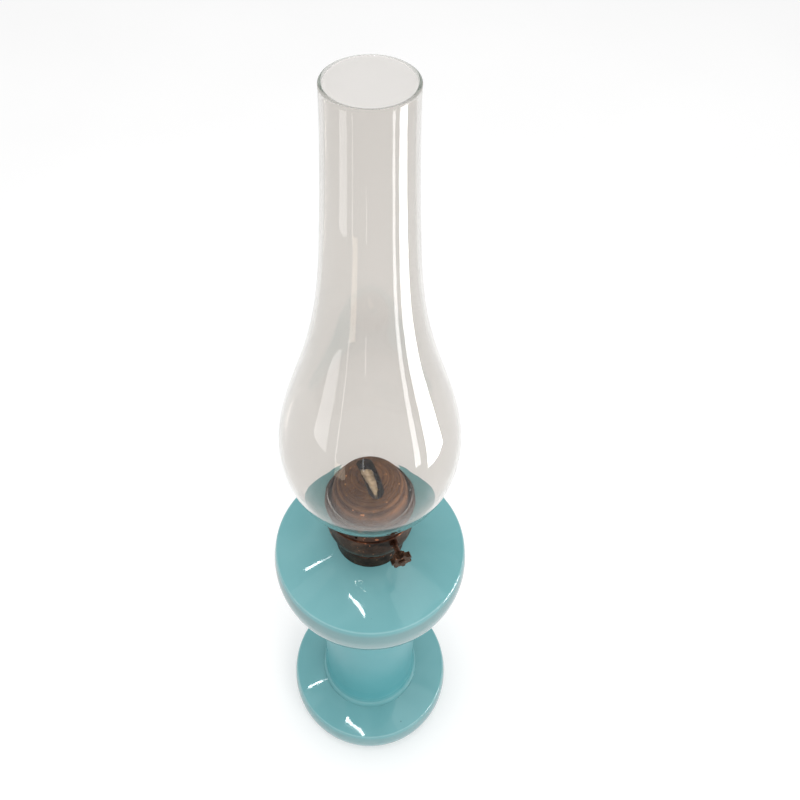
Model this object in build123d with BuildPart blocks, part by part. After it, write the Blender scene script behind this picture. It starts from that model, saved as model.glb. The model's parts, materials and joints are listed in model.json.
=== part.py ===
"""Table oil lamp: one-piece opaline glass base, flat-wick brass burner, loose dome cap and glass chimney.

Millimetres, +Z up. The origin is the middle of the ring that the lamp stands on.
The wick's width and the winding spindle run along Y, and the winding knob is at -Y.
"""
import os
from math import cos, hypot, pi, sin, sqrt

from build123d import *

# Glass base: bun foot, straight column, bowl-shaped font
foot_radius = 50.9
foot_belly = 14.2
foot_tuck = 6.0
foot_height = 24.0
foot_round = 1.6
foot_rise = 2.9
foot_ring_width = 8.0
foot_push_up = 5.0
bead_step = 3.2
bead_height = 5.2
column_radius = 27.7
column_length = 108.1
column_cove = 12.0
font_radius = 50.0
bowl_depth = 46.0
bowl_cove_share = 0.35
shoulder_round = 1.5
shoulder_rise = 10.0
shoulder_cone = 8.0
crease_round = 1.2
neck_gap = 1.6
neck_wall = 3.0
neck_height = 4.0
base_wall = 3.6

# Brass collar, cemented over the glass neck
collar_wall = 0.8
collar_height = 10.0
collar_seat_gap = 0.15
collar_bead = 0.5
thread_land = 1.0
thread_depth = 5.2
cement_thickness = 1.8
cement_gap = 0.05

# Burner: threaded plug, flared cup, gallery with its crown of tongues
sheet = 0.7
thread_gap = 0.35
thread_pitch = 1.4
thread_tooth = 0.6
thread_turns = 3
plug_flange = 1.0
cup_height = 10.5
cup_hole_count = 20
cup_hole_radius = 1.2
gallery_radius = 21.4
gallery_height = 17.5
seat_height = 11.0
gallery_bead = 0.6
tongue_count = 6
tongue_slit = 1.2
tongue_height = 4.4
tongue_turn = -7.5
plate_hole_radius = 0.9
plate_hole_pitch = 2.9
plate_ring_step = 3.0
plate_ring_count = 2
plate_margin = 1.6

# Flat wick and its tube
wick_width = 18.0
wick_thickness = 2.4
wick_length = 190.0
wick_gap_side = 0.25
wick_gap_end = 0.3
tube_sheet = 0.5
tube_drop = 12.0
tube_below_wick_top = 7.5
tube_gap = 0.1
wick_above_cap_rim = 15.95

# Winding spindle, its spiked wheels, housing and knob
spindle_radius = 1.25
running_gap = 0.05
fixed_gap = 0.02
wheel_radius = 2.7
wheel_root = 2.0
wheel_width = 2.0
wheel_spikes = 12
wheel_spacing = 10.0
wheel_gap = 0.3
housing_end_room = 1.9
housing_gap = 0.3
housing_top_gap = 0.4
sleeve_wall = 0.8
sleeve_reach = 1.8
clip_radius = 2.2
clip_width = 0.8
clip_gap = 0.2
knob_radius = 5.0
knob_width = 2.8
knob_stand_off = 8.9
knob_hub_radius = 2.2
knob_hub_length = 2.0
knob_scallops = 7
knob_scallop_radius = 1.6
knob_scallop_depth = 1.2
rivet_radius = 1.9
rivet_height = 1.0

# Vent tube that lets air into the font as the oil goes down
vent_radius = 1.5
vent_wall = 0.4
vent_gap = 3.05
vent_length = 16.0
vent_drop = 3.0

# Loose dome cap with the flame slot
cap_sheet = 0.6
cap_skirt = 7.05
cap_brim = 0.5
cap_ledge = 1.2
cap_gap = 0.4
cap_skirt_flare = 0.3
slot_end_gap = 2.5
slot_side_gap = 2.5

# Chimney of clear glass
chimney_height = 215.5
chimney_wall = 1.25
fitter_gap = 0.3
fitter_height = 7.5
bulge_radius = 38.7
bulge_height = 52.5
rim_radius = 14.2
swell_shares = ((0.356, 0.606), (0.6, 0.878))
neck_shares = ((0.129, 0.133), (0.331, 0.543), (0.503, 0.794), (0.73, 0.933))

# How far a cut runs past the sheet that it pierces
cut_past = 2.0

# Wick tube and spindle, which follow from the wick
tube_half_x = wick_thickness / 2 + wick_gap_side + tube_sheet
tube_half_y = wick_width / 2 + wick_gap_end + tube_sheet
spindle_x = wick_thickness / 2 + wheel_gap + wheel_radius
sleeve_radius = spindle_radius + running_gap + sleeve_wall
housing_half_z = wheel_radius + housing_gap + sheet
housing_outer_x = spindle_x + wheel_radius + housing_gap + sheet
housing_length = wheel_spacing + wheel_width + 2 * (housing_end_room + sheet)
housing_end = housing_length / 2
vent_x = -(tube_half_x + vent_gap + vent_radius)

# Radii that follow from the tube, which lifts out through the neck, and from the gallery
neck_bore = hypot(tube_half_x, tube_half_y) + neck_gap
neck_radius = neck_bore + neck_wall
collar_inner = neck_radius + cement_thickness
collar_radius = collar_inner + collar_wall
thread_bore = collar_inner - thread_land
foot_ring_radius = foot_radius - foot_tuck
foot_top_radius = foot_radius - foot_round
shoulder_radius = font_radius - shoulder_round
gallery_inner = gallery_radius - sheet
gallery_wall_y = sqrt(gallery_radius**2 - spindle_x**2)
sleeve_start = -housing_end - running_gap
sleeve_end = -gallery_wall_y - sleeve_reach
knob_reach = gallery_radius + knob_stand_off
fitter_radius = gallery_inner - fitter_gap
cap_flange_radius = fitter_radius - chimney_wall - cap_gap
cap_radius = cap_flange_radius - cap_brim
seat_inner_radius = cap_flange_radius - cap_ledge

# Heights that follow from the sizes above
groove_z = foot_height + foot_rise
column_top = groove_z + column_length
edge_z = column_top + bowl_depth
shoulder_z = edge_z + shoulder_rise
neck_z = shoulder_z + shoulder_cone
neck_top = neck_z + neck_height
cone_slope = shoulder_cone / (shoulder_radius - neck_radius)
collar_z = neck_z - cone_slope * (collar_inner - neck_radius) + collar_seat_gap
collar_top = neck_z + collar_height
cup_z = collar_top + plug_flange
gallery_z = cup_z + cup_height
seat_z = gallery_z + seat_height
plate_z = seat_z - 2 * sheet
spindle_z = plate_z - housing_top_gap - housing_half_z
gallery_top = gallery_z + gallery_height
cap_rim_z = seat_z + cap_skirt
wick_top = cap_rim_z + wick_above_cap_rim
tube_top = wick_top - tube_below_wick_top
tube_bottom = collar_top - tube_drop


def s_curve(start, end, share):
    """Two tangent arcs, upright at both ends, that meet on the straight line between the ends."""
    middle = tuple(a + share * (b - a) for a, b in zip(start, end))
    lower = TangentArc(start, middle, tangent=(0, 1))
    TangentArc(middle, end, tangent=lower % 1)


def moved_in(outline, wall):
    """The outline moved towards the axis by a wall, square to its run at each point."""
    moved = []
    last = len(outline) - 1
    for index, (radius, height) in enumerate(outline):
        before = outline[max(index - 1, 0)]
        after = outline[min(index + 1, last)]
        rise = after[1] - before[1]
        spread = after[0] - before[0]
        run = hypot(rise, spread)
        moved.append((radius - wall * rise / run, height + wall * spread / run))
    return moved


def across(y):
    """Upright plane square to the spindle, centred on it, facing the knob end."""
    return Plane(origin=(spindle_x, y, spindle_z), x_dir=(1, 0, 0), z_dir=(0, -1, 0))


# Glass base
foot_edge = (foot_top_radius, foot_height)
groove = (column_radius + bead_step, groove_z)
bead_crest = (column_radius + bead_step, groove_z + 0.55 * bead_height)
bead_top = (column_radius + 0.6 * bead_step, groove_z + bead_height)
cove_top = bead_top[1] + column_cove
shoulder = (shoulder_radius, shoulder_z)
foot_side = (foot_ring_radius, foot_belly)
inner_column = column_radius - base_wall
inner_font = font_radius - base_wall
inner_foot_edge = (foot_top_radius - base_wall, foot_height - base_wall)
inner_shoulder = (shoulder_radius - base_wall, shoulder_z - base_wall)
inner_neck = (neck_bore, neck_z - base_wall)
with BuildPart() as glass_base:
    with BuildSketch(Plane.XZ) as base_profile:
        with BuildLine():
            ring_inner = foot_ring_radius - foot_ring_width
            TangentArc((0, foot_push_up), (ring_inner, 0), tangent=(1, 0))
            Line((ring_inner, 0), (foot_ring_radius, 0))
            EllipticalCenterArc(foot_side, foot_tuck, foot_belly, 270, arc_size=90)
            TangentArc((foot_radius, foot_belly), foot_edge, tangent=(0, 1))
            Line(foot_edge, groove)
            ThreePointArc(groove, bead_crest, bead_top)
            TangentArc((column_radius, cove_top), bead_top, tangent=(0, -1))
            Line((column_radius, cove_top), (column_radius, column_top))
            s_curve((column_radius, column_top), (font_radius, edge_z), bowl_cove_share)
            TangentArc((font_radius, edge_z), shoulder, tangent=(0, 1))
            Line(shoulder, (neck_radius, neck_z))
            Polyline((neck_radius, neck_z), (neck_radius, neck_top), (neck_bore, neck_top), inner_neck)
            Line(inner_neck, inner_shoulder)
            TangentArc((inner_font, edge_z), inner_shoulder, tangent=(0, 1))
            s_curve((inner_column, column_top), (inner_font, edge_z), bowl_cove_share)
            Polyline(
                (inner_column, column_top),
                (inner_column, groove_z),
                (inner_column + base_wall, groove_z - base_wall),
                inner_foot_edge,
            )
            TangentArc((foot_radius - base_wall, foot_belly), inner_foot_edge, tangent=(0, 1))
            EllipticalCenterArc(foot_side, foot_tuck - base_wall, foot_belly - base_wall, 270, arc_size=90)
            TangentArc((0, base_wall + foot_push_up), (foot_ring_radius, base_wall), tangent=(1, 0))
            Line((0, base_wall + foot_push_up), (0, foot_push_up))
        make_face()
        for corner in (foot_edge, shoulder):
            fillet(base_profile.vertices().sort_by_distance((*corner, 0))[0], radius=crease_round)
    revolve(axis=Axis.Z)

# Plaster that holds the collar on the neck
with BuildPart() as neck_cement:
    with BuildSketch(Plane.XY.offset(neck_z + cement_gap)):
        Circle(collar_inner - cement_gap)
        Circle(neck_radius + cement_gap, mode=Mode.SUBTRACT)
    extrude(amount=neck_height - cement_gap)

# Collar with the threaded mouth that the burner screws into
with BuildPart() as font_collar:
    with BuildSketch(Plane.XZ):
        with BuildLine():
            thread_z = collar_top - thread_depth
            Polyline(
                (collar_inner, collar_z),
                (collar_radius, collar_z),
                (collar_radius, collar_top - 2 * collar_bead),
            )
            ThreePointArc(
                (collar_radius, collar_top - 2 * collar_bead),
                (collar_radius + collar_bead, collar_top - collar_bead),
                (collar_radius, collar_top),
            )
            Polyline(
                (collar_radius, collar_top),
                (thread_bore, collar_top),
                (thread_bore, thread_z),
                (collar_inner, thread_z),
                (collar_inner, collar_z),
            )
        make_face()
    revolve(axis=Axis.Z)

# Plug: flange on the collar, threaded skirt below it, slot for the wick tube and hole for the vent
thread_crest = thread_bore - thread_gap
thread_root = thread_crest - thread_tooth
skirt_inner = thread_root - sheet
with BuildPart() as burner_plug:
    with BuildSketch(Plane.XZ):
        with BuildLine():
            zigzag = [(thread_root, collar_top)]
            for turn in range(thread_turns):
                turn_z = collar_top - turn * thread_pitch
                zigzag.append((thread_crest, turn_z - thread_pitch / 2))
                zigzag.append((thread_root, turn_z - thread_pitch))
            Polyline(
                (0, cup_z),
                (collar_radius, cup_z),
                (collar_radius, collar_top),
                *zigzag,
                (skirt_inner, zigzag[-1][1]),
                (skirt_inner, collar_top),
                (0, collar_top),
                close=True,
            )
        make_face()
    revolve(axis=Axis.Z)
    with BuildSketch(Plane.XY.offset(cup_z)):
        Rectangle(2 * (tube_half_x + tube_gap), 2 * (tube_half_y + tube_gap))
        with Locations((vent_x, 0)):
            Circle(vent_radius + fixed_gap)
    extrude(amount=-plug_flange - cut_past, mode=Mode.SUBTRACT)

# Cup: flares from the plug to the gallery, with a ring of air holes
cup_foot = collar_radius
cup_middle = ((cup_foot + gallery_radius) / 2 + sheet, cup_z + 0.4 * cup_height)
cup_outline = [(cup_foot, cup_z), cup_middle, (gallery_radius, gallery_z)]
with BuildPart() as burner_cup:
    with BuildSketch(Plane.XZ):
        with BuildLine():
            ThreePointArc(*cup_outline)
            Line((gallery_radius, gallery_z), (gallery_inner, gallery_z))
            inner_foot = (cup_foot - sheet, cup_z + sheet)
            inner_middle = (cup_middle[0] - 0.8 * sheet, cup_middle[1] + 0.6 * sheet)
            ThreePointArc((gallery_inner, gallery_z), inner_middle, inner_foot)
            flange_inner = cup_foot - 3 * sheet
            Polyline(inner_foot, (flange_inner, cup_z + sheet), (flange_inner, cup_z), (cup_foot, cup_z))
        make_face()
    revolve(axis=Axis.Z)
    with Locations((0, 0, cup_middle[1])):
        with PolarLocations(cup_middle[0], cup_hole_count):
            Cylinder(cup_hole_radius, 2 * cut_past, rotation=(0, 90, 0), mode=Mode.SUBTRACT)

# Gallery: round wall, ledge for the chimney and a crown of springy tongues, pierced for the spindle
slit_height = tongue_height + sheet
with BuildPart() as gallery:
    with BuildSketch(Plane.XZ):
        with BuildLine():
            Line((gallery_radius, gallery_z), (gallery_radius, seat_z - 2 * gallery_bead))
            ThreePointArc(
                (gallery_radius, seat_z - 2 * gallery_bead),
                (gallery_radius + gallery_bead, seat_z - gallery_bead),
                (gallery_radius, seat_z),
            )
            Polyline(
                (gallery_radius, seat_z),
                (gallery_radius, gallery_top),
                (gallery_inner, gallery_top),
                (gallery_inner, seat_z),
                (seat_inner_radius, seat_z),
                (seat_inner_radius, seat_z - sheet),
                (gallery_inner, seat_z - sheet),
                (gallery_inner, gallery_z),
                (gallery_radius, gallery_z),
            )
        make_face()
    revolve(axis=Axis.Z)
    with Locations((0, 0, gallery_top - tongue_height + slit_height / 2)):
        with PolarLocations(gallery_radius, tongue_count, start_angle=tongue_turn):
            Box(2 * cut_past, tongue_slit, slit_height, mode=Mode.SUBTRACT)
    with BuildSketch(across(-gallery_wall_y + cut_past)):
        Circle(sleeve_radius + fixed_gap)
    extrude(amount=2 * cut_past, mode=Mode.SUBTRACT)

# Perforated plate under the ledge, which spreads the air round the wick tube
with BuildPart() as air_plate:
    with BuildSketch(Plane.XY.offset(plate_z)):
        Circle(gallery_inner - fitter_gap)
        Rectangle(2 * (tube_half_x + tube_gap), 2 * (tube_half_y + tube_gap), mode=Mode.SUBTRACT)
        for ring in range(plate_ring_count):
            ring_radius = seat_inner_radius - plate_margin - ring * plate_ring_step
            with PolarLocations(ring_radius, int(2 * pi * ring_radius / plate_hole_pitch)):
                Circle(plate_hole_radius, mode=Mode.SUBTRACT)
    extrude(amount=sheet)

# Flat tube that guides the wick, with a window for each spiked wheel and room for the spindle's sleeve
wheel_ys = (-wheel_spacing / 2, wheel_spacing / 2)
with BuildPart() as wick_tube:
    with BuildSketch(Plane.XY.offset(tube_bottom)):
        Rectangle(2 * tube_half_x, 2 * tube_half_y)
        Rectangle(2 * (tube_half_x - tube_sheet), 2 * (tube_half_y - tube_sheet), mode=Mode.SUBTRACT)
    extrude(amount=tube_top - tube_bottom)
    with Locations(*[(tube_half_x, y, spindle_z) for y in wheel_ys]):
        window_height = 2 * (wheel_radius + housing_gap)
        Box(2 * tube_sheet + wick_gap_side, wheel_width + 2 * housing_gap, window_height, mode=Mode.SUBTRACT)
    with BuildSketch(across(sleeve_start)):
        Circle(sleeve_radius + running_gap)
    extrude(amount=sleeve_start - sleeve_end, mode=Mode.SUBTRACT)

# Open-backed box on the tube that covers the wheels and carries the spindle
with BuildPart() as wheel_housing:
    housing_x = tube_half_x + running_gap
    with Locations((housing_x, 0, spindle_z)):
        Box(
            housing_outer_x - housing_x,
            housing_length,
            2 * housing_half_z,
            align=(Align.MIN, Align.CENTER, Align.CENTER),
        )
        Box(
            housing_outer_x - housing_x - sheet,
            housing_length - 2 * sheet,
            2 * (housing_half_z - sheet),
            align=(Align.MIN, Align.CENTER, Align.CENTER),
            mode=Mode.SUBTRACT,
        )
    with BuildSketch(across(-housing_length)):
        Circle(spindle_radius + running_gap)
    extrude(amount=-2 * housing_length, mode=Mode.SUBTRACT)

# Sleeve that carries the spindle out through the gallery wall
with BuildPart() as spindle_sleeve:
    with BuildSketch(across(sleeve_start)):
        Circle(sleeve_radius)
        Circle(spindle_radius + running_gap, mode=Mode.SUBTRACT)
    extrude(amount=sleeve_start - sleeve_end)

# Vent tube through the plug
with BuildPart() as vent_tube:
    with BuildSketch(Plane.XY.offset(collar_top - vent_drop)):
        with Locations((vent_x, 0)):
            Circle(vent_radius)
            Circle(vent_radius - vent_wall, mode=Mode.SUBTRACT)
    extrude(amount=vent_length)

# Winding spindle
spindle_back = housing_end + clip_gap + clip_width
knob_front = -knob_reach - knob_width / 2
knob_back = knob_front + knob_width
with BuildPart() as wick_shaft:
    with BuildSketch(across(spindle_back)):
        Circle(spindle_radius)
    extrude(amount=spindle_back - knob_front)

# Ring that keeps the spindle from sliding out
with BuildPart() as shaft_clip:
    with BuildSketch(across(spindle_back)):
        Circle(clip_radius)
        Circle(spindle_radius + fixed_gap, mode=Mode.SUBTRACT)
    extrude(amount=clip_width)


def spiked_wheel(y):
    """Star-shaped wheel that grips the wick, centred at y on the spindle."""
    with BuildPart() as wheel:
        with BuildSketch(across(y)):
            with BuildLine():
                star = []
                for step in range(2 * wheel_spikes):
                    radius = wheel_root if step % 2 else wheel_radius
                    angle = pi * step / wheel_spikes
                    star.append((radius * cos(angle), radius * sin(angle)))
                Polyline(*star, close=True)
            make_face()
            Circle(spindle_radius + fixed_gap, mode=Mode.SUBTRACT)
        extrude(amount=wheel_width / 2, both=True)
    return wheel


wick_wheel_front = spiked_wheel(wheel_ys[0])
wick_wheel_rear = spiked_wheel(wheel_ys[1])

# Knob with a scalloped edge and a hub towards the lamp
with BuildPart() as knob:
    with BuildSketch(across(knob_back)):
        Circle(knob_radius)
        with PolarLocations(knob_radius + knob_scallop_radius - knob_scallop_depth, knob_scallops):
            Circle(knob_scallop_radius, mode=Mode.SUBTRACT)
    extrude(amount=knob_width)
    with BuildSketch(across(knob_back + knob_hub_length)):
        Circle(knob_hub_radius)
    extrude(amount=knob_hub_length)
    with BuildSketch(across(knob_back + knob_hub_length)):
        Circle(spindle_radius + fixed_gap)
    extrude(amount=knob_hub_length + knob_width, mode=Mode.SUBTRACT)

# Spread end of the spindle that holds the knob on
with BuildPart() as knob_rivet:
    with BuildSketch(across(knob_front)):
        Circle(rivet_radius)
    extrude(amount=rivet_height)
    fillet(knob_rivet.edges().sort_by(Axis.Y)[0], radius=0.7 * rivet_height)

# Woven flat wick
with BuildPart() as wick:
    with BuildSketch(Plane.XY.offset(wick_top)):
        Rectangle(wick_thickness, wick_width)
    extrude(amount=-wick_length)

# Dome cap with a skirt, a flange on the gallery ledge and the flame slot
slot_length = wick_width + 2 * slot_end_gap
slot_width = wick_thickness + 2 * slot_side_gap
slot_drop = cap_radius - sqrt(cap_radius**2 - (slot_length / 2) ** 2) + cut_past
with BuildPart() as burner_cap:
    with BuildSketch(Plane.XZ):
        with BuildLine():
            cap_inner = cap_radius - cap_sheet
            skirt_z = seat_z + cap_sheet
            Polyline(
                (cap_inner + cap_skirt_flare, seat_z),
                (cap_flange_radius, seat_z),
                (cap_flange_radius, skirt_z),
                (cap_radius + cap_skirt_flare, skirt_z),
                (cap_radius, cap_rim_z),
            )
            CenterArc((0, cap_rim_z), cap_radius, 0, 90)
            Line((0, cap_rim_z + cap_radius), (0, cap_rim_z + cap_inner))
            CenterArc((0, cap_rim_z), cap_inner, 0, 90)
            Line((cap_inner, cap_rim_z), (cap_inner + cap_skirt_flare, seat_z))
        make_face()
    revolve(axis=Axis.Z)
    with BuildSketch(Plane.XY.offset(cap_rim_z + cap_radius)):
        SlotOverall(slot_length, slot_width, rotation=90)
    extrude(amount=-slot_drop, mode=Mode.SUBTRACT)

# Chimney: straight fitter, low round bulge and a long drawn-in neck
fitter_top = (fitter_radius, seat_z + fitter_height)
bulge = (bulge_radius, seat_z + bulge_height)
rim = (rim_radius, seat_z + chimney_height)


def between(start, end, shares):
    """Point at a share of the height and a share of the radius from one outline point to another."""
    height_share, radius_share = shares
    radius = start[0] + radius_share * (end[0] - start[0])
    return (radius, start[1] + height_share * (end[1] - start[1]))


chimney_outline = [
    (fitter_radius, seat_z),
    fitter_top,
    *[between(fitter_top, bulge, shares) for shares in swell_shares],
    bulge,
    *[between(bulge, rim, shares) for shares in neck_shares],
    rim,
]
chimney_inside = moved_in(chimney_outline, chimney_wall)
chimney_inside[-1] = (rim_radius - chimney_wall, rim[1])
with BuildPart() as chimney:
    with BuildSketch(Plane.XZ):
        with BuildLine():
            Line(chimney_outline[0], chimney_outline[1])
            Spline(*chimney_outline[1:], tangents=((0, 1), (0, 1)), tangent_scalars=(1, 1))
            Line(chimney_outline[-1], chimney_inside[-1])
            Spline(*chimney_inside[1:], tangents=((0, 1), (0, 1)), tangent_scalars=(1, 1))
            Line(chimney_inside[1], chimney_inside[0])
            Line(chimney_inside[0], chimney_outline[0])
        make_face()
    revolve(axis=Axis.Z)
    fillet(chimney.edges().group_by(Axis.Z)[-1], radius=0.4 * chimney_wall)

pieces = {
    "glass_base": glass_base,
    "neck_cement": neck_cement,
    "font_collar": font_collar,
    "burner_plug": burner_plug,
    "burner_cup": burner_cup,
    "gallery": gallery,
    "air_plate": air_plate,
    "wick_tube": wick_tube,
    "wheel_housing": wheel_housing,
    "spindle_sleeve": spindle_sleeve,
    "vent_tube": vent_tube,
    "wick_shaft": wick_shaft,
    "shaft_clip": shaft_clip,
    "wick_wheel_front": wick_wheel_front,
    "wick_wheel_rear": wick_wheel_rear,
    "knob": knob,
    "knob_rivet": knob_rivet,
    "wick": wick,
    "burner_cap": burner_cap,
    "chimney": chimney,
}
os.makedirs("parts", exist_ok=True)
for label, piece in pieces.items():
    piece.part.label = label
    export_step(piece.part, f"parts/{label}.step")
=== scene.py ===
import json
import math

import bpy
from mathutils import Matrix, Vector, noise


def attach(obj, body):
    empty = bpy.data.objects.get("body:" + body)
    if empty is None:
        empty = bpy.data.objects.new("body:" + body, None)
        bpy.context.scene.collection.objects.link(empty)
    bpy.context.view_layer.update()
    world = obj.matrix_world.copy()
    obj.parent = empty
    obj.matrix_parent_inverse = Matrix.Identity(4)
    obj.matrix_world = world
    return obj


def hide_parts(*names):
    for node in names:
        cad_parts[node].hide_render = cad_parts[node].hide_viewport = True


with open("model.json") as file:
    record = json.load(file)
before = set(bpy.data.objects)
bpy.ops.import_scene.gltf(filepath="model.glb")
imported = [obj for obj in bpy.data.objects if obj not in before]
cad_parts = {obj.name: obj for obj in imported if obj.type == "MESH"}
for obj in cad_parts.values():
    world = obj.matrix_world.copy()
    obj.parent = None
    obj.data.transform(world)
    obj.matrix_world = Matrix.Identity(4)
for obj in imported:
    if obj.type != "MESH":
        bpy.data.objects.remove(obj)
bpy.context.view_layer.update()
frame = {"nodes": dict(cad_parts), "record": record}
nodes = frame["nodes"]

# The photograph's camera: seen from above, with the winding knob to the front right
CAMERA_LENS = 36.0
CAMERA_SENSOR = 36.0
CAMERA_AZIMUTH = math.radians(-20.0)
CAMERA_REACH = 0.1995
CAMERA_HEIGHT = 0.561
CAMERA_PITCH = math.radians(51.5)
CAMERA_SHIFT = 0.0375


def add_camera():
    data = bpy.data.cameras.new("camera")
    data.lens = CAMERA_LENS
    data.sensor_width = CAMERA_SENSOR
    data.shift_x = CAMERA_SHIFT
    data.clip_start = 0.01
    data.clip_end = 20.0
    camera = bpy.data.objects.new("camera", data)
    camera.location = from_front(0.0, -CAMERA_REACH, CAMERA_HEIGHT)
    camera.rotation_euler = (math.pi / 2 - CAMERA_PITCH, 0.0, CAMERA_AZIMUTH)
    bpy.context.scene.collection.objects.link(camera)
    bpy.context.scene.camera = camera


def from_front(right, away, up):
    """A place as the photograph shows it, from the foot's middle: to the right, away from the camera, up."""
    return Matrix.Rotation(CAMERA_AZIMUTH, 3, "Z") @ Vector((right, away, up))


class Tree:
    """A material's node tree, with short calls for the nodes that the finishes share."""

    def __init__(self, name):
        self.material = bpy.data.materials.new(name)
        self.material.use_nodes = True
        self.nodes = self.material.node_tree.nodes
        self.links = self.material.node_tree.links
        self.shader = self.nodes["Principled BSDF"]
        self.output = self.nodes["Material Output"]
        self.place = self.nodes.new("ShaderNodeTexCoord").outputs["Object"]

    def join(self, source, target):
        self.links.new(source, target)

    def scaled(self, factors):
        mapping = self.nodes.new("ShaderNodeMapping")
        mapping.inputs["Scale"].default_value = factors
        self.join(self.place, mapping.inputs["Vector"])
        return mapping.outputs["Vector"]

    def axis(self, name):
        split = self.nodes.new("ShaderNodeSeparateXYZ")
        self.join(self.place, split.inputs["Vector"])
        return split.outputs[name]

    def radius(self):
        """Distance from the lamp's axis."""
        node = self.nodes.new("ShaderNodeVectorMath")
        node.operation = "LENGTH"
        self.join(self.scaled((1.0, 1.0, 0.0)), node.inputs[0])
        return node.outputs["Value"]

    def near_ring(self, radius, height, full, none, most):
        """How near a place is to a ring round the lamp's axis, from most on the ring to 0 away from it."""
        out = self.math("SUBTRACT", self.radius(), radius)
        up = self.math("SUBTRACT", self.axis("Z"), height)
        square = self.math("ADD", self.math("MULTIPLY", out, out), self.math("MULTIPLY", up, up))
        return self.span(self.math("SQRT", square, 0.0), full, none, most, 0.0)

    def noise(self, scale, detail=3.0, roughness=0.5, distortion=0.0, vector=None):
        node = self.nodes.new("ShaderNodeTexNoise")
        node.inputs["Scale"].default_value = scale
        node.inputs["Detail"].default_value = detail
        node.inputs["Roughness"].default_value = roughness
        node.inputs["Distortion"].default_value = distortion
        self.join(vector or self.place, node.inputs["Vector"])
        return node.outputs["Fac"]

    def noise_along(self, value, scale, detail=2.0):
        node = self.nodes.new("ShaderNodeTexNoise")
        node.noise_dimensions = "1D"
        node.inputs["Scale"].default_value = scale
        node.inputs["Detail"].default_value = detail
        self.join(value, node.inputs["W"])
        return node.outputs["Fac"]

    def ramp(self, value, stops, smooth=True):
        node = self.nodes.new("ShaderNodeValToRGB")
        node.color_ramp.interpolation = "EASE" if smooth else "LINEAR"
        elements = node.color_ramp.elements
        while len(elements) < len(stops):
            elements.new(0.5)
        for element, (position, colour) in zip(elements, stops):
            element.position = position
            element.color = (*colour, 1.0)
        self.join(value, node.inputs["Fac"])
        return node.outputs["Color"]

    def span(self, value, low, high, to_low, to_high):
        node = self.nodes.new("ShaderNodeMapRange")
        for name, number in zip(("From Min", "From Max", "To Min", "To Max"), (low, high, to_low, to_high)):
            node.inputs[name].default_value = number
        self.join(value, node.inputs["Value"])
        return node.outputs["Result"]

    def math(self, kind, first, second):
        node = self.nodes.new("ShaderNodeMath")
        node.operation = kind
        for socket, value in zip(node.inputs, (first, second)):
            if isinstance(value, (int, float)):
                socket.default_value = value
            else:
                self.join(value, socket)
        return node.outputs["Value"]

    def mix(self, factor, first, second):
        node = self.nodes.new("ShaderNodeMix")
        node.data_type = "RGBA"
        for name, value in (("Factor", factor), ("A", first), ("B", second)):
            kind = "VALUE" if name == "Factor" else "RGBA"
            socket = next(s for s in node.inputs if s.name == name and s.type == kind)
            if isinstance(value, (int, float)):
                socket.default_value = value
            elif isinstance(value, tuple):
                socket.default_value = (*value, 1.0)
            else:
                self.join(value, socket)
        return next(s for s in node.outputs if s.type == "RGBA")

    def bump(self, height, distance, under=None):
        node = self.nodes.new("ShaderNodeBump")
        node.inputs["Distance"].default_value = distance
        node.inputs["Strength"].default_value = 1.0
        self.join(height, node.inputs["Height"])
        if under is not None:
            self.join(under, node.inputs["Normal"])
        return node.outputs["Normal"]

    def set(self, **values):
        for name, value in values.items():
            socket = self.shader.inputs[name.replace("_", " ")]
            if isinstance(value, (int, float, tuple)):
                socket.default_value = value
            else:
                self.join(value, socket)


# Radius and height of the two moulded edges of the glass base, along which a pale line is painted as a
# highlight
CREASE_PAINTED_HIGHLIGHTS = ((0.0482, 0.1907), (0.0490, 0.0237))
# Heights over which the painted shade and grey reflection under them fade out, and where the column ends:
# upwards and outwards
FONT_PAINTED_SHADE_TOP = (0.1875, 0.1895)
FOOT_PAINTED_SHADE_TOP = (0.0205, 0.0230)
COLUMN_TOP = (0.140, 0.150)
COLUMN_SIDE = (0.0285, 0.030)


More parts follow.
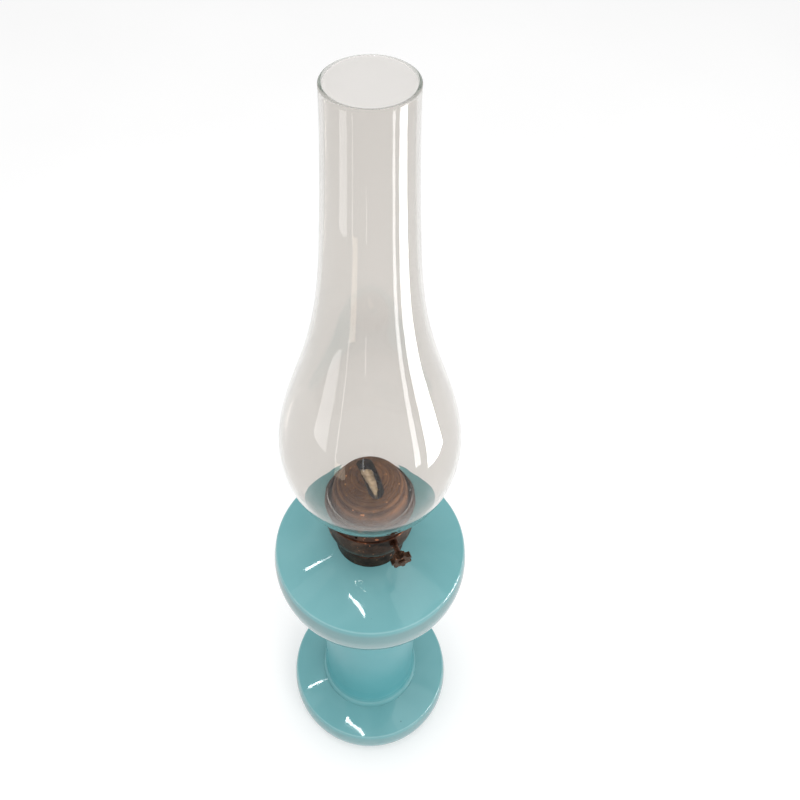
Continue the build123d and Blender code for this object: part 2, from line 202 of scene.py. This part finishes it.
def opaline():
    """Moulded turquoise opal glass: faint clouds, a few dark seeds, painted shade and grey reflection on the
    walls under the two moulded edges, painted highlight lines along those edges and a deeper, duller column."""
    tree = Tree("opaline_glass")
    cloud = tree.noise(24.0, detail=4.0, distortion=0.8)
    colour = tree.ramp(cloud, [(0.25, (0.155, 0.40, 0.425)), (0.75, (0.195, 0.45, 0.475))])
    height = tree.axis("Z")
    above_column = tree.span(height, *COLUMN_TOP, 0.0, 1.0)
    # Painted shade and grey reflection: the walls under the font's and the foot's moulded edges are painted
    # greyer
    painted_shade_under_font = tree.math("MULTIPLY", tree.span(height, *FONT_PAINTED_SHADE_TOP, 0.55, 0.0), above_column)
    painted_shade = tree.math("MAXIMUM", painted_shade_under_font, tree.span(height, *FOOT_PAINTED_SHADE_TOP, 0.35, 0.0))
    painted_shade = tree.math("MULTIPLY", painted_shade, tree.span(cloud, 0.2, 0.6, 0.7, 1.0))
    colour = tree.mix(painted_shade, colour, (0.20, 0.265, 0.265))
    seeds = tree.span(tree.noise(420.0, detail=1.0), 0.80, 0.84, 0.0, 0.6)
    colour = tree.mix(seeds, colour, (0.05, 0.12, 0.13))
    # Painted highlights: a pale line along each moulded edge
    for place in CREASE_PAINTED_HIGHLIGHTS:
        colour = tree.mix(tree.near_ring(*place, 0.0002, 0.0006, 0.25), colour, (0.6, 0.78, 0.78))
    beyond_column = tree.math("MAXIMUM", tree.span(tree.radius(), *COLUMN_SIDE, 0.0, 1.0), above_column)
    column = tree.math("SUBTRACT", 1.0, beyond_column)
    colour = tree.mix(tree.math("MULTIPLY", column, 0.7), colour, (0.085, 0.375, 0.415))
    polish = tree.span(tree.noise(90.0), 0.3, 0.7, 0.015, 0.035)
    tree.set(
        Base_Color=colour,
        Roughness=tree.math("ADD", polish, tree.math("MULTIPLY", column, 0.3)),
        Normal=tree.bump(tree.noise(45.0, detail=1.0), 0.00004),
        IOR=1.42,
    )
    return tree.material


def brass(name, dark, middle, warm, roughness, rings=0.0, metal=0.95, sheen=0.5):
    """Brass gone brown with age: cloudy patina, reddish places, pits, bright specks and, if spun, rings."""
    tree = Tree(name)
    cloud = tree.noise(130.0, detail=5.0, roughness=0.6, distortion=0.6)
    if rings:
        turned = tree.noise_along(tree.radius(), 900.0)
        cloud = tree.math("ADD", cloud, tree.span(turned, 0.3, 0.7, -rings, rings))
    patina = tree.ramp(cloud, [(0.3, dark), (0.52, middle), (0.72, warm)])
    pits = tree.span(tree.noise(1500.0, detail=2.0), 0.60, 0.70, 0.0, 0.8)
    colour = tree.mix(pits, patina, tuple(0.3 * c for c in dark))
    worn = tree.span(tree.noise(460.0, detail=1.0), 0.71, 0.75, 0.0, 1.0)
    colour = tree.mix(worn, colour, tuple(min(1.0, 3.0 * c) for c in warm))
    grain = tree.noise(900.0, detail=4.0)
    tree.set(
        Base_Color=colour,
        Roughness=tree.span(cloud, 0.3, 0.7, roughness + 0.12, roughness - 0.08),
        Normal=tree.bump(grain, 0.00012),
        Metallic=metal,
        Specular_IOR_Level=sheen,
    )
    return tree.material


def plaster():
    """Grainy off-white plaster."""
    tree = Tree("plaster")
    cloud = tree.noise(300.0, detail=5.0)
    colour = tree.ramp(cloud, [(0.3, (0.58, 0.54, 0.46)), (0.7, (0.76, 0.73, 0.66))])
    tree.set(Base_Color=colour, Roughness=0.9, Normal=tree.bump(tree.noise(1200.0), 0.0002))
    return tree.material


# Light that meets the glass more often than this goes straight on, so that none is lost between its walls
GLASS_MEETINGS = 4.5


def clear_glass():
    """Blown clear glass: faintly grey, greener where it is seen edge on, with the ripple of old glass."""
    tree = Tree("clear_glass")
    ripple = tree.noise(42.0, detail=2.0, vector=tree.scaled((1.0, 1.0, 0.12)))
    waver = tree.noise(30.0, detail=1.0)
    tree.set(
        Roughness=tree.span(tree.noise(60.0), 0.3, 0.7, 0.0, 0.02),
        Normal=tree.bump(ripple, 0.0001, under=tree.bump(waver, 0.0001)),
        Base_Color=(0.81, 0.786, 0.762, 1.0),
        Transmission_Weight=1.0,
        IOR=1.34,
    )
    absorb = tree.nodes.new("ShaderNodeVolumeAbsorption")
    absorb.inputs["Color"].default_value = (0.486, 0.543, 0.507, 1.0)
    absorb.inputs["Density"].default_value = 32.0
    tree.join(absorb.outputs["Volume"], tree.output.inputs["Volume"])
    clear = tree.nodes.new("ShaderNodeBsdfTransparent")
    clear.inputs["Color"].default_value = (0.88, 0.87, 0.86, 1.0)
    path = tree.nodes.new("ShaderNodeLightPath")
    choose = tree.nodes.new("ShaderNodeMixShader")
    trapped = tree.math("GREATER_THAN", path.outputs["Ray Depth"], GLASS_MEETINGS)
    tree.join(tree.math("MAXIMUM", path.outputs["Is Shadow Ray"], trapped), choose.inputs["Fac"])
    tree.join(tree.shader.outputs["BSDF"], choose.inputs[1])
    tree.join(clear.outputs["BSDF"], choose.inputs[2])
    tree.join(choose.outputs["Shader"], tree.output.inputs["Surface"])
    return tree.material


def cotton():
    """Undyed cotton tape, near-black at the back of its burnt end."""
    tree = Tree("cotton")
    cloud = tree.noise(500.0, detail=4.0)
    colour = tree.ramp(cloud, [(0.3, (0.62, 0.45, 0.28)), (0.7, (0.86, 0.68, 0.47))])
    ragged = tree.span(tree.noise(900.0, detail=3.0), 0.3, 0.7, -0.0006, 0.0006)
    height = tree.math("ADD", tree.axis("Z"), ragged)
    # Near-black over the back of the top few millimetres
    back = tree.span(tree.math("ADD", tree.axis("Y"), ragged), 0.0040, 0.0054, 0.0, 1.0)
    low = tree.span(height, WICK_TOP - 0.012, WICK_TOP - 0.006, 0.0, 1.0)
    dark_back = tree.math("MULTIPLY", back, low)
    tree.set(
        Base_Color=tree.mix(dark_back, colour, (0.012, 0.010, 0.009)),
        Roughness=tree.span(cloud, 0.3, 0.7, 0.9, 1.0),
        Normal=tree.bump(tree.noise(2600.0), 0.0002),
    )
    return tree.material


def add_piece(name, vertices, faces, node, slot):
    """A piece that stands for a CAD node and rides on that node's body."""
    mesh = bpy.data.meshes.new(name)
    mesh.from_pydata(vertices, [], faces)
    mesh.validate()
    mesh.shade_smooth()
    mesh.materials.append(FINISHES[slot])
    piece = bpy.data.objects.new(name, mesh)
    bpy.context.scene.collection.objects.link(piece)
    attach(piece, node)
    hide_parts(node)
    return piece


# The wick: an 18 mm tape whose burnt end leans over a little in the slot, and flares on one side
WICK_WIDTH = 0.018
WICK_THICKNESS = 0.0024
WICK_BOTTOM = 0.0645
WICK_TOP = 0.2545
WICK_RIBS = 15
WICK_WEFT = 0.0009
WICK_RELIEF = 0.00012
WICK_LEAN = -0.0020
WICK_LEAN_FROM = 0.2478
WICK_FLAP = 0.0030


def make_wick():
    """The wick as a woven tape, ribbed along its length, with a ragged end that leans and flares."""
    half_width = WICK_WIDTH / 2
    half_thick = WICK_THICKNESS / 2 - WICK_RELIEF
    columns = 4 * WICK_RIBS
    coarse = [WICK_BOTTOM + 0.002 * i for i in range(85)]
    heights = coarse + [coarse[-1] + 0.0004 * i for i in range(1, 56)]
    heights = [h for h in heights if h < WICK_TOP] + [WICK_TOP]

    def woven(y, z, side):
        rib = y / WICK_WIDTH * WICK_RIBS
        over = 0.5 + 0.5 * math.cos(2 * math.pi * z / WICK_WEFT + math.pi * math.floor(rib))
        return side * (half_thick + WICK_RELIEF * abs(math.sin(math.pi * rib)) ** 0.5 * (0.4 + 0.6 * over))

    def leaning(y, z):
        share = max(0.0, min(1.0, (z - WICK_LEAN_FROM) / (WICK_TOP - WICK_LEAN_FROM)))
        bulge = math.exp(-(((y - 0.003) / 0.0055) ** 2))
        ragged = 0.0005 * noise.noise(Vector((y * 900.0, 3.0, z * 200.0)))
        return share**1.5 * (WICK_LEAN * (0.25 + 0.75 * bulge) + ragged)

    def flap(y, z):
        share = max(0.0, (z - WICK_LEAN_FROM) / (WICK_TOP - WICK_LEAN_FROM))
        rise = max(0.0, min(1.0, (y + 0.009) / 0.011))
        return WICK_FLAP * share**3 * rise * max(0.0, min(1.0, (0.0055 - y) / 0.002))

    def drop(y, z):
        share = max(0.0, (z - WICK_LEAN_FROM) / (WICK_TOP - WICK_LEAN_FROM))
        end = max(0.0, (-y - 0.001) / 0.008)
        ragged = 0.0006 * (noise.noise(Vector((y * 1400.0, 0.5, 0.0))) + 0.6)
        return share * (0.0016 * end * end + ragged)

    vertices, faces = [], []
    ring = 2 * (columns + 1)
    for z in heights:
        for side in (-1, 1):
            for i in range(columns + 1):
                y = half_width * (2 * i / columns - 1)
                edge = min(1.0, 6 * min(i, columns - i) / columns + 0.35)
                x = woven(y, z, side) * edge + leaning(y, z) + (flap(y, z) if side > 0 else 0.0)
                vertices.append((x, y, z - drop(y, z)))
    for row in range(len(heights) - 1):
        low, high = row * ring, (row + 1) * ring
        for i in range(columns):
            faces.append((low + i, high + i, high + i + 1, low + i + 1))
            right = columns + 1
            faces.append((low + right + i, low + right + i + 1, high + right + i + 1, high + right + i))
        for i, flip in ((0, False), (columns, True)):
            quad = (low + i, low + columns + 1 + i, high + columns + 1 + i, high + i)
            faces.append(quad[::-1] if flip else quad)
    last = (len(heights) - 1) * ring
    for i in range(columns):
        right = columns + 1
        faces.append((i, i + 1, right + i + 1, right + i))
        faces.append((last + i, last + right + i, last + right + i + 1, last + i + 1))
    wick = add_piece("woven_wick", vertices, faces, "wick", "cotton")


# The chimney: its outer outline from the shoulder of its foot to its rim, as radius and height in millimetres
CHIMNEY_FOOT = 231.5
CHIMNEY_WALL = 1.25
CHIMNEY_LIP = 0.5
CHIMNEY_TURNS = 192
CHIMNEY_OUTLINE = (
    (20.400, 239.000), (21.200, 242.736), (23.209, 246.005), (25.767, 248.877), (28.472, 251.613),
    (31.054, 254.465), (33.216, 257.642), (34.872, 261.112), (36.116, 264.751), (37.083, 268.475),
    (37.828, 272.249), (38.349, 276.061), (38.643, 279.897), (38.704, 283.744), (38.533, 287.587),
    (38.149, 291.415), (37.582, 295.221), (36.860, 299.000), (36.010, 302.753), (35.060, 306.481),
    (34.029, 310.188), (32.937, 313.877), (31.799, 317.553), (30.631, 321.219), (29.451, 324.881),
    (28.274, 328.545), (27.118, 332.215), (25.998, 335.896), (24.932, 339.593), (23.928, 343.307),
    (22.987, 347.038), (22.111, 350.785), (21.300, 354.546), (20.553, 358.321), (19.873, 362.108),
    (19.260, 365.906), (18.713, 369.715), (18.227, 373.532), (17.796, 377.355), (17.414, 381.184),
    (17.073, 385.017), (16.768, 388.852), (16.491, 392.690), (16.237, 396.529), (15.999, 400.370),
    (15.769, 404.211), (15.546, 408.052), (15.330, 411.894), (15.126, 415.736), (14.935, 419.579),
    (14.760, 423.423), (14.604, 427.267), (14.469, 431.113), (14.359, 434.959), (14.276, 438.806),
    (14.222, 442.653), (14.200, 446.501),
)


def through(points, steps):
    """More places along a smooth line through the points."""
    points = [Vector(point) for point in points]
    line = []
    for before, here, there, after in zip(points[:1] + points, points, points[1:], points[2:] + points[-1:]):
        for step in range(steps):
            t = step / steps
            square = (2 * before - 5 * here + 4 * there - after) * t**2
            cube = (3 * here - before - 3 * there + after) * t**3
            line.append(here + ((there - before) * t + square + cube) / 2)
    return line + points[-1:]


def make_chimney():
    """The chimney again, turned in fine steps so that the glass bends the light smoothly."""
    foot = [Vector((CHIMNEY_OUTLINE[0][0], CHIMNEY_FOOT + 1.5 * i)) for i in range(5)]
    outer = foot + through(CHIMNEY_OUTLINE, 3)
    inner = []
    for i, place in enumerate(outer):
        along = (outer[min(i + 1, len(outer) - 1)] - outer[max(i - 1, 0)]).normalized()
        inner.append(place + CHIMNEY_WALL * Vector((-along.y, along.x)))
    inner[0].y = outer[0].y
    inner[-1] = Vector((outer[-1].x - CHIMNEY_WALL, outer[-1].y))
    lip = []
    for edge, start in ((outer[-1].x - CHIMNEY_LIP, 0), (inner[-1].x + CHIMNEY_LIP, 6)):
        for step in range(7):
            turn = math.radians(15 * (start + step))
            place = Vector((edge, outer[-1].y))
            lip.append(place + CHIMNEY_LIP * Vector((math.cos(turn), math.sin(turn))))
    loop = outer[:-1] + lip + inner[-2::-1]
    vertices, faces = [], []
    for place in loop:
        for turn in range(CHIMNEY_TURNS):
            angle = 2 * math.pi * turn / CHIMNEY_TURNS
            out = place.x / 1000
            vertices.append((out * math.cos(angle), out * math.sin(angle), place.y / 1000))
    for row in range(len(loop)):
        low, high = row * CHIMNEY_TURNS, (row + 1) % len(loop) * CHIMNEY_TURNS
        for turn in range(CHIMNEY_TURNS):
            after = (turn + 1) % CHIMNEY_TURNS
            faces.append((low + turn, low + after, high + after, high + turn))
    chimney = add_piece("turned_chimney", vertices, faces, "chimney", "clear_glass")
    chimney.data.set_sharp_from_angle(angle=math.radians(50.0))


FINISHES = {
    "opaline_glass": opaline(),
    "plaster": plaster(),
    "dark_brass": brass("dark_brass", (0.022, 0.010, 0.007), (0.075, 0.032, 0.019), (0.16, 0.06, 0.03), 0.42),
    "cap_brass": brass(
        "cap_brass", (0.092, 0.034, 0.012), (0.15, 0.064, 0.022), (0.24, 0.098, 0.033), 0.62,
        rings=0.2, metal=0.25, sheen=0.1,
    ),
    "knob_brass": brass("knob_brass", (0.03, 0.017, 0.011), (0.085, 0.045, 0.027), (0.17, 0.085, 0.05), 0.45),
    "iron_wire": brass("iron_wire", (0.04, 0.022, 0.015), (0.11, 0.055, 0.035), (0.2, 0.095, 0.06), 0.5),
    "cotton": cotton(),
    "clear_glass": clear_glass(),
}


def finish_nodes():
    slots = {row["node"]: row["material_slot"] for row in frame["record"]["subparts"]}
    for name, node in nodes.items():
        node.data.materials.clear()
        node.data.materials.append(FINISHES[slots[name]])


def add_floor():
    bpy.ops.mesh.primitive_plane_add(size=12.0)
    floor = bpy.context.object
    floor.name = "floor"
    tree = Tree("floor")
    tree.set(Base_Color=tree.ramp(tree.noise(3.0), [(0.3, (0.75, 0.75, 0.75)), (0.7, (0.77, 0.77, 0.77))]))
    tree.set(Roughness=0.9, Specular_IOR_Level=0.0)
    path = tree.nodes.new("ShaderNodeLightPath")
    seen = tree.math("MAXIMUM", path.outputs["Is Camera Ray"], path.outputs["Is Transmission Ray"])
    seen = tree.math("MAXIMUM", seen, path.outputs["Is Glossy Ray"])
    tree.set(Emission_Color=(1.0, 1.0, 1.0, 1.0), Emission_Strength=tree.math("MULTIPLY", seen, 0.3))
    floor.data.materials.append(tree.material)


def add_world():
    world = bpy.data.worlds.new("studio")
    bpy.context.scene.world = world
    world.use_nodes = True
    background = world.node_tree.nodes["Background"]
    background.inputs["Color"].default_value = (1.0, 1.0, 1.0, 1.0)
    background.inputs["Strength"].default_value = 0.75


def add_lamp(name, start, end, width, radiance, aim, soft=False, through=False, colour=(1.0, 1.0, 1.0)):
    """A strip of light from start to end. A soft one lights the lamp; the others only show as reflections,
    also in what lies under the chimney's glass if through is set."""
    start, end, aim = from_front(*start), from_front(*end), from_front(*aim)
    data = bpy.data.lights.new(name, "AREA")
    data.shape = "RECTANGLE"
    data.color = colour
    data.size = (end - start).length
    data.size_y = width
    data.energy = 4 * data.size * width * radiance
    lamp = bpy.data.objects.new(name, data)
    middle = (start + end) / 2
    back = (middle - aim).normalized()
    along = (end - start).normalized()
    up = back.cross(along).normalized()
    lamp.matrix_world = Matrix.Translation(middle) @ Matrix((up.cross(back), up, back)).transposed().to_4x4()
    lamp.visible_camera = False
    lamp.visible_transmission = through
    lamp.visible_diffuse = soft
    lamp.visible_glossy = not soft
    bpy.context.scene.collection.objects.link(lamp)


def add_lamps():
    """Two soft lights, then the strips that the glass shows: tubes and panes in the font and the foot, faint
    blinds that fade out to their edges, and the windows down the sides of the chimney."""
    font, glass = (0.0, -0.03, 0.19), (0.0, 0.0, 0.38)
    add_lamp("overhead", (-0.32, 0.0, 1.4), (0.18, 0.0, 1.4), 0.5, 4.2, font, soft=True)
    add_lamp("front_fill", (0.15, -0.85, 0.75), (0.75, -0.6, 0.75), 0.5, 2.2, (0.0, 0.0, 0.1), soft=True)
    add_lamp("tube_back", (-0.075, -0.021, 1.2), (-0.184, -0.032, 1.2), 0.007, 28.0, font, through=True)
    add_lamp("tube_front", (-0.184, -0.032, 1.2), (-0.035, -0.094, 1.2), 0.008, 28.0, font, through=True)
    add_lamp("left_pane", (-0.265, 0.137, 0.68), (-0.285, 0.131, 0.68), 0.011, 28.0, font, through=True)
    add_lamp("left_pane_end", (-0.250, 0.136, 0.68), (-0.265, 0.137, 0.68), 0.008, 9.0, font, through=True)
    for share in (1.0, 0.8, 0.6, 0.4):
        middle, reach = Vector((0.333, 0.06, 1.2)), share * Vector((0.139, 0.122, 0.0))
        add_lamp("right_blind", middle - reach, middle + reach, 0.12 * share, 0.65, font, through=True)
        middle, reach = Vector((-0.46, 0.145, 1.2)), share * Vector((-0.05, 0.055, 0.0))
        add_lamp("left_blind", middle - reach, middle + reach, 0.09 * share, 0.5, font, through=True)
    add_lamp("window", (0.405, -0.086, 0.06), (0.405, -0.086, 0.24), 0.17, 14.0, glass)
    add_lamp("window_side", (0.332, -0.247, 0.10), (0.332, -0.247, 0.23), 0.05, 8.0, glass)
    add_lamp("left_window", (-0.389, -0.218, 0.12), (-0.389, -0.218, 0.20), 0.15, 3.0, glass)
    add_lamp("left_gap", (-0.276, -0.35, 0.12), (-0.276, -0.35, 0.19), 0.012, 4.0, glass)
    warm = (1.0, 0.85, 0.65)
    add_lamp("warm_lamp", (-0.239, -0.377, 0.07), (-0.239, -0.377, 0.115), 0.09, 3.2, glass, colour=warm)
    add_lamp("thin_gap", (-0.057, -0.442, 0.12), (-0.057, -0.442, 0.155), 0.012, 4.0, glass)


add_camera()
finish_nodes()
make_wick()
make_chimney()
add_floor()
add_world()
add_lamps()

bpy.context.scene.view_settings.view_transform = "Standard"
